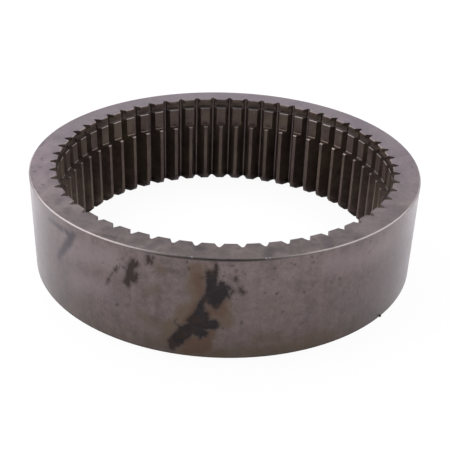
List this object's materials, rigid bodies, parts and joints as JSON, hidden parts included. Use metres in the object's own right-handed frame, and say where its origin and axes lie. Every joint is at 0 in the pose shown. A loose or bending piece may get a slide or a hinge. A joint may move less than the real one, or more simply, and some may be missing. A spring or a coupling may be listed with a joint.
{
  "type": "internal ring gear",
  "caption": "Steel internal ring gear: a plain round outside, straight inner teeth, and at one end a bored-back seat with a snap-ring groove.",
  "frame": {"origin": "centre of the lower face, on the gear's axis", "axes": "+Z is the gear's axis, towards the end with the carrier seat and the snap-ring groove; the middle of a tooth space lies on +X"},
  "size_m": [0.261, 0.261, 0.0677],
  "materials": {
    "ring_gear": "machined and hardened, dull brownish grey with dark stains"
  },
  "bodies": {
    "root": {"ring_gear": "ring_gear"}
  },
  "joints": []
}
